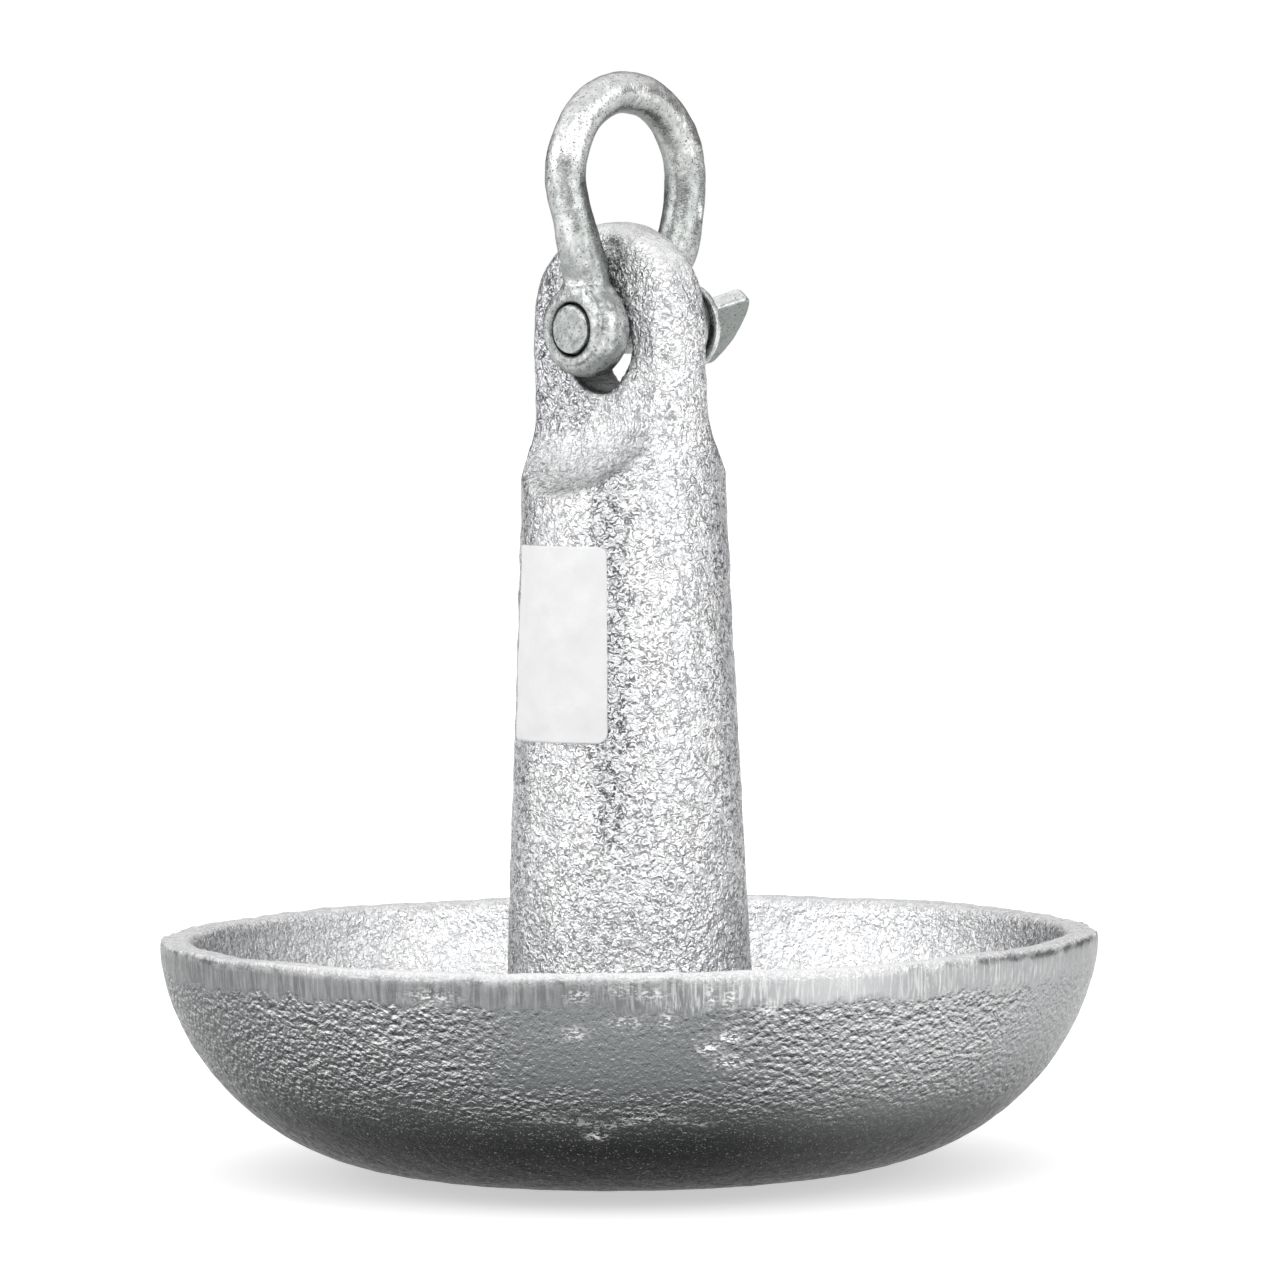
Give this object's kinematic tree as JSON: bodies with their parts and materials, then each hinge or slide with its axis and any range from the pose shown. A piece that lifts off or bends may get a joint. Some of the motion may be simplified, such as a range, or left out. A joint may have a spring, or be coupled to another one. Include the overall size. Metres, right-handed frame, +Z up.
{
  "type": "mushroom anchor",
  "caption": "Cast mushroom anchor: a shallow bowl on a tapered round shank with a flattened, holed head and a screw-pin bow shackle for the rode.",
  "frame": {"origin": "middle of the flat spot under the bowl, on the shank's axis", "axes": "+Z up the shank, +X along the shackle's pin towards its thumb tab"},
  "size_m": [0.2248, 0.2248, 0.2629],
  "materials": {
    "cast": "rough sand-cast skin under a bright silver coat",
    "galvanised": "hot-dip galvanised, matt and mottled",
    "sticker": "blank white sticker, satin"
  },
  "bodies": {
    "anchor": {"anchor_casting": "cast", "blank_label": "sticker"},
    "shackle": {"shackle_bow": "galvanised"},
    "pin": {"screw_pin": "galvanised"}
  },
  "joints": [
    {"name": "shackle_swing", "type": "hinge", "parent": "anchor", "child": "shackle", "pos_m": [0.00175, 0, 0.2016], "axis": [1, 0, 0], "range_deg": [-145, 145]},
    {"name": "pin_draw", "type": "slide", "parent": "shackle", "child": "pin", "axis": [1, 0, 0], "range_m": [0, 0.04]}
  ]
}
